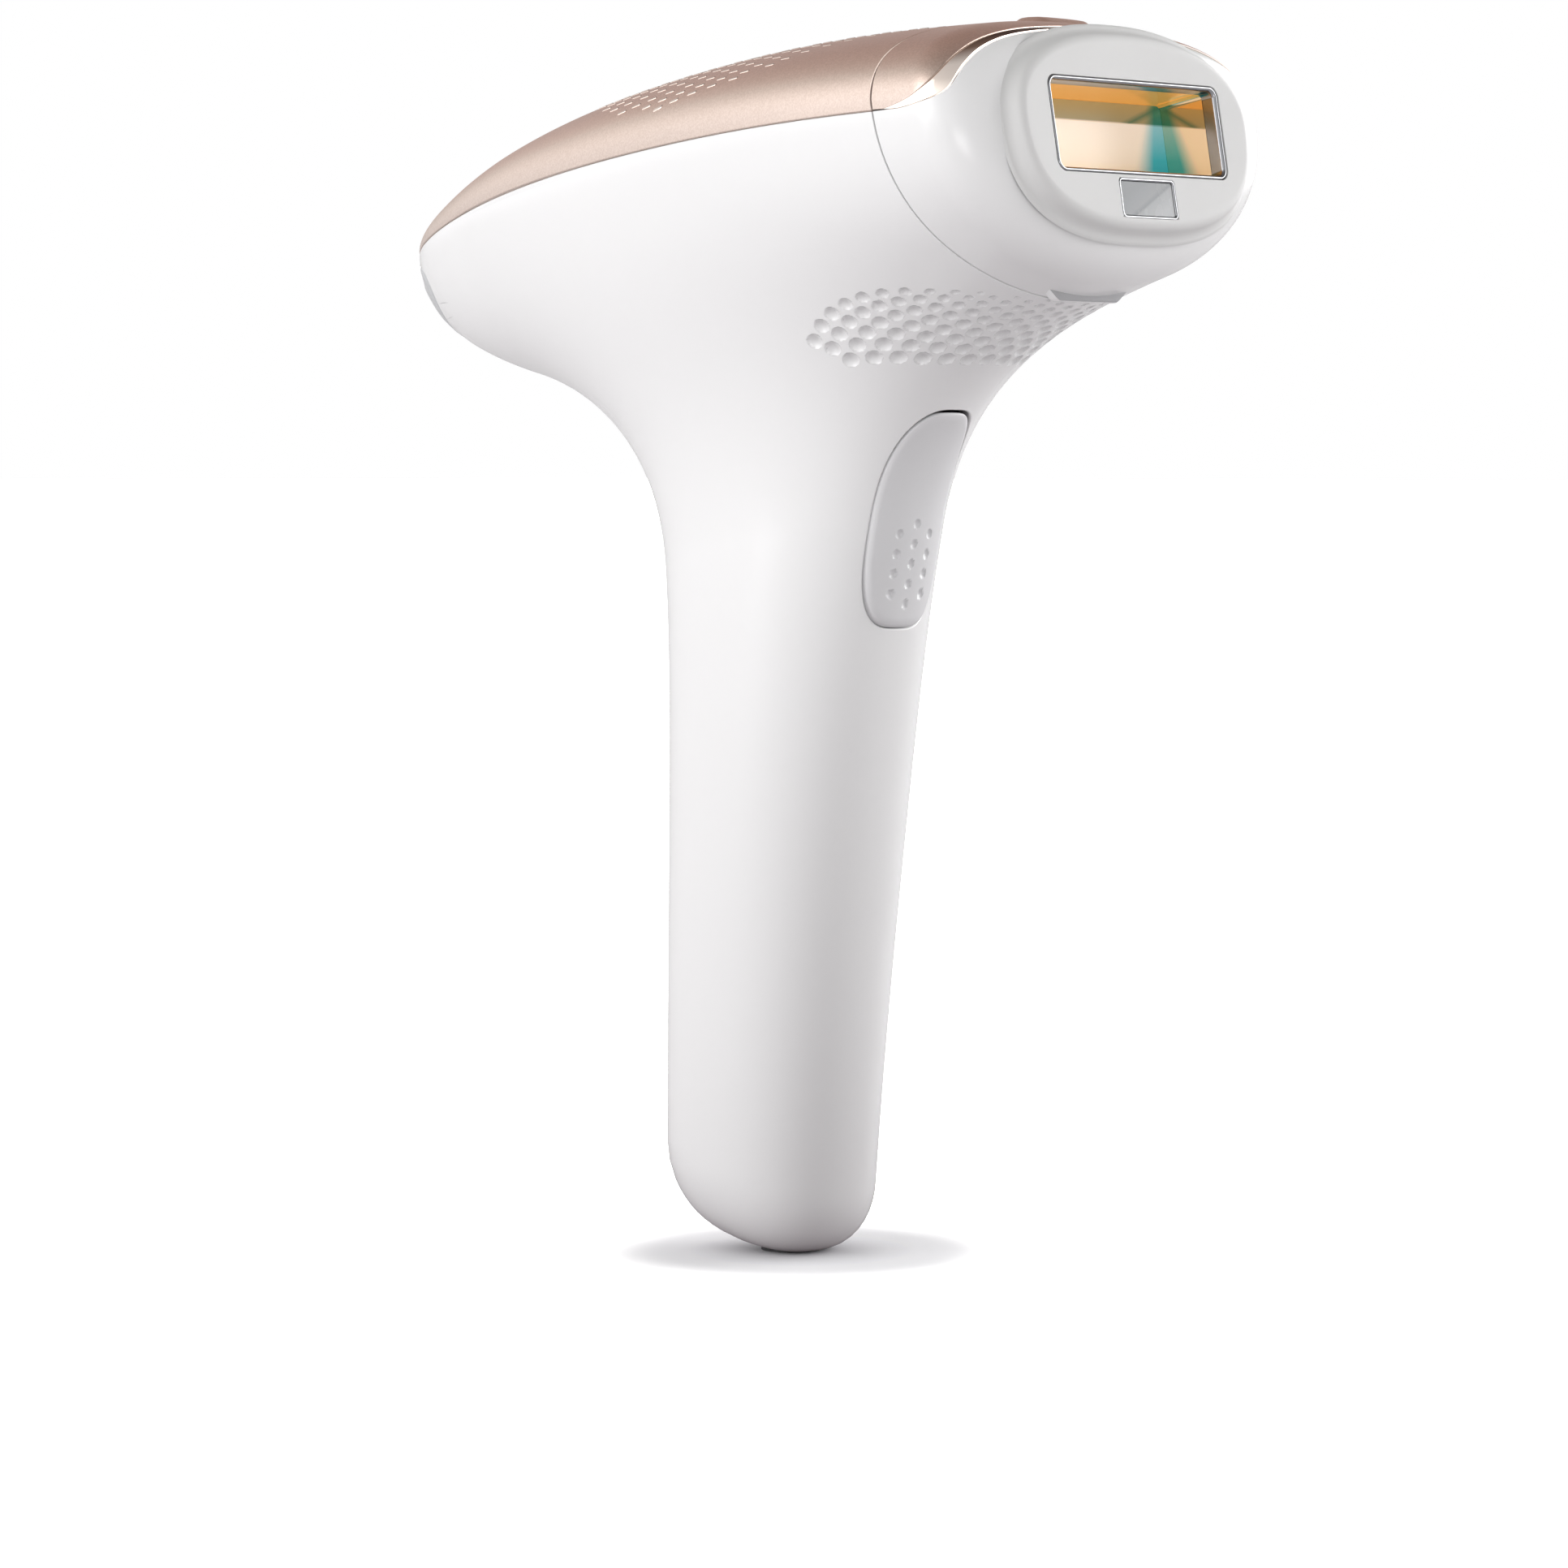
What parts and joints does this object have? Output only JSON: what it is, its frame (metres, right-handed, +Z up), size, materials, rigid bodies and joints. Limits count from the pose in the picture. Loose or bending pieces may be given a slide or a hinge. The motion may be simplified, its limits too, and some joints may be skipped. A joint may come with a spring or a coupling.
{
  "type": "ipl hair remover",
  "caption": "Hand-held corded IPL hair remover: egg-shaped head with a pull-off window attachment on a tapering handle with a flash button.",
  "frame": {"origin": "centre of the power socket mouth at the foot of the handle", "axes": "+Z up the handle, +X towards the treatment window, +Y to the device's left when seen from behind the tail"},
  "size_m": [0.1418, 0.0696, 0.1767],
  "materials": {
    "white_gloss": "gloss",
    "rose_satin": "satin with a fine metallic grain",
    "rose_polished": "polished",
    "plate_grey": "matte",
    "button_grey": "satin",
    "panel_grey": "satin",
    "bright_frame": "polished",
    "gold_reflector": "polished, gold coated",
    "clear_window": "clear",
    "filter_amber": "clear, amber",
    "tube_glass": "clear",
    "light_diffuser": "translucent",
    "carrier_white": "matte",
    "dark_plastic": "matte",
    "chassis_grey": "matte",
    "bulkhead_grey": "matte",
    "plunger_red": "satin",
    "board_green": "satin",
    "capacitor_sleeve": "gloss",
    "coil_core": "matte",
    "ceramic_end": "matte",
    "steel_part": "satin",
    "gold_contact": "polished",
    "wire_red": "satin",
    "wire_white": "satin",
    "fan_black": "matte"
  },
  "bodies": {
    "handset": {"main_housing": "white_gloss", "top_cover": "rose_satin", "button_pin": "steel_part", "button_spring": "steel_part", "flash_switch": "dark_plastic", "control_panel": "panel_grey", "power_switch": "dark_plastic", "level_lights": "light_diffuser", "control_board": "board_green", "bulkhead": "bulkhead_grey", "filter_glass": "filter_amber", "lamp_reflector": "gold_reflector", "flash_tube": "tube_glass", "tube_end_left": "ceramic_end", "tube_end_right": "ceramic_end", "lamp_holder": "dark_plastic", "skin_sensor": "board_green", "contact_pins": "gold_contact", "bulkhead_screws": "steel_part", "fan_housing": "dark_plastic", "fan_axle": "steel_part", "main_board": "board_green", "capacitor_left": "capacitor_sleeve", "capacitor_right": "capacitor_sleeve", "trigger_transformer": "coil_core", "charging_transformer": "coil_core", "chassis": "chassis_grey", "dc_socket": "dark_plastic", "power_wires": "wire_red", "lamp_wires": "wire_white"},
    "attachment": {"attachment_shell": "white_gloss", "attachment_cap": "rose_satin", "attachment_trim": "rose_polished", "face_plate": "plate_grey", "window_frame": "bright_frame", "light_tunnel": "gold_reflector", "attachment_filter": "filter_amber", "sensor_window": "clear_window", "sensor_frame": "bright_frame", "attachment_carrier": "carrier_white"},
    "flash_button": {"flash_button": "button_grey"},
    "switch_plunger": {"switch_plunger": "plunger_red"},
    "power_button": {"power_button": "button_grey"},
    "power_plunger": {"power_plunger": "carrier_white"},
    "fan": {"fan_rotor": "fan_black"}
  },
  "joints": [
    {"name": "attachment_slide", "type": "slide", "parent": "handset", "child": "attachment", "axis": [0.9842, 0, 0.1771], "range_m": [0, 0.045]},
    {"name": "button_hinge", "type": "hinge", "parent": "handset", "child": "flash_button", "pos_m": [0.0208, 0, 0.1175], "axis": [0, 1, 0], "range_deg": [0, 3.2], "deforming": ["button_spring"]},
    {"name": "plunger_slide", "type": "slide", "parent": "handset", "child": "switch_plunger", "axis": [-1, 0, 0], "range_m": [0, 0.00109]},
    {"name": "power_slide", "type": "slide", "parent": "handset", "child": "power_button", "axis": [0.8192, 0, 0.5736], "range_m": [0, 0.0008]},
    {"name": "power_plunger_slide", "type": "slide", "parent": "handset", "child": "power_plunger", "axis": [0.8192, 0, 0.5736], "range_m": [0, 0.0008]},
    {"name": "fan_spin", "type": "hinge", "parent": "handset", "child": "fan", "pos_m": [0.012, 0, 0.1523], "axis": [1, 0, 0], "continuous": true}
  ],
  "couplings": [
    {"joint": "plunger_slide", "follows": "button_hinge", "m_per_rad": 0.0195},
    {"joint": "power_plunger_slide", "follows": "power_slide", "ratio": 1}
  ]
}
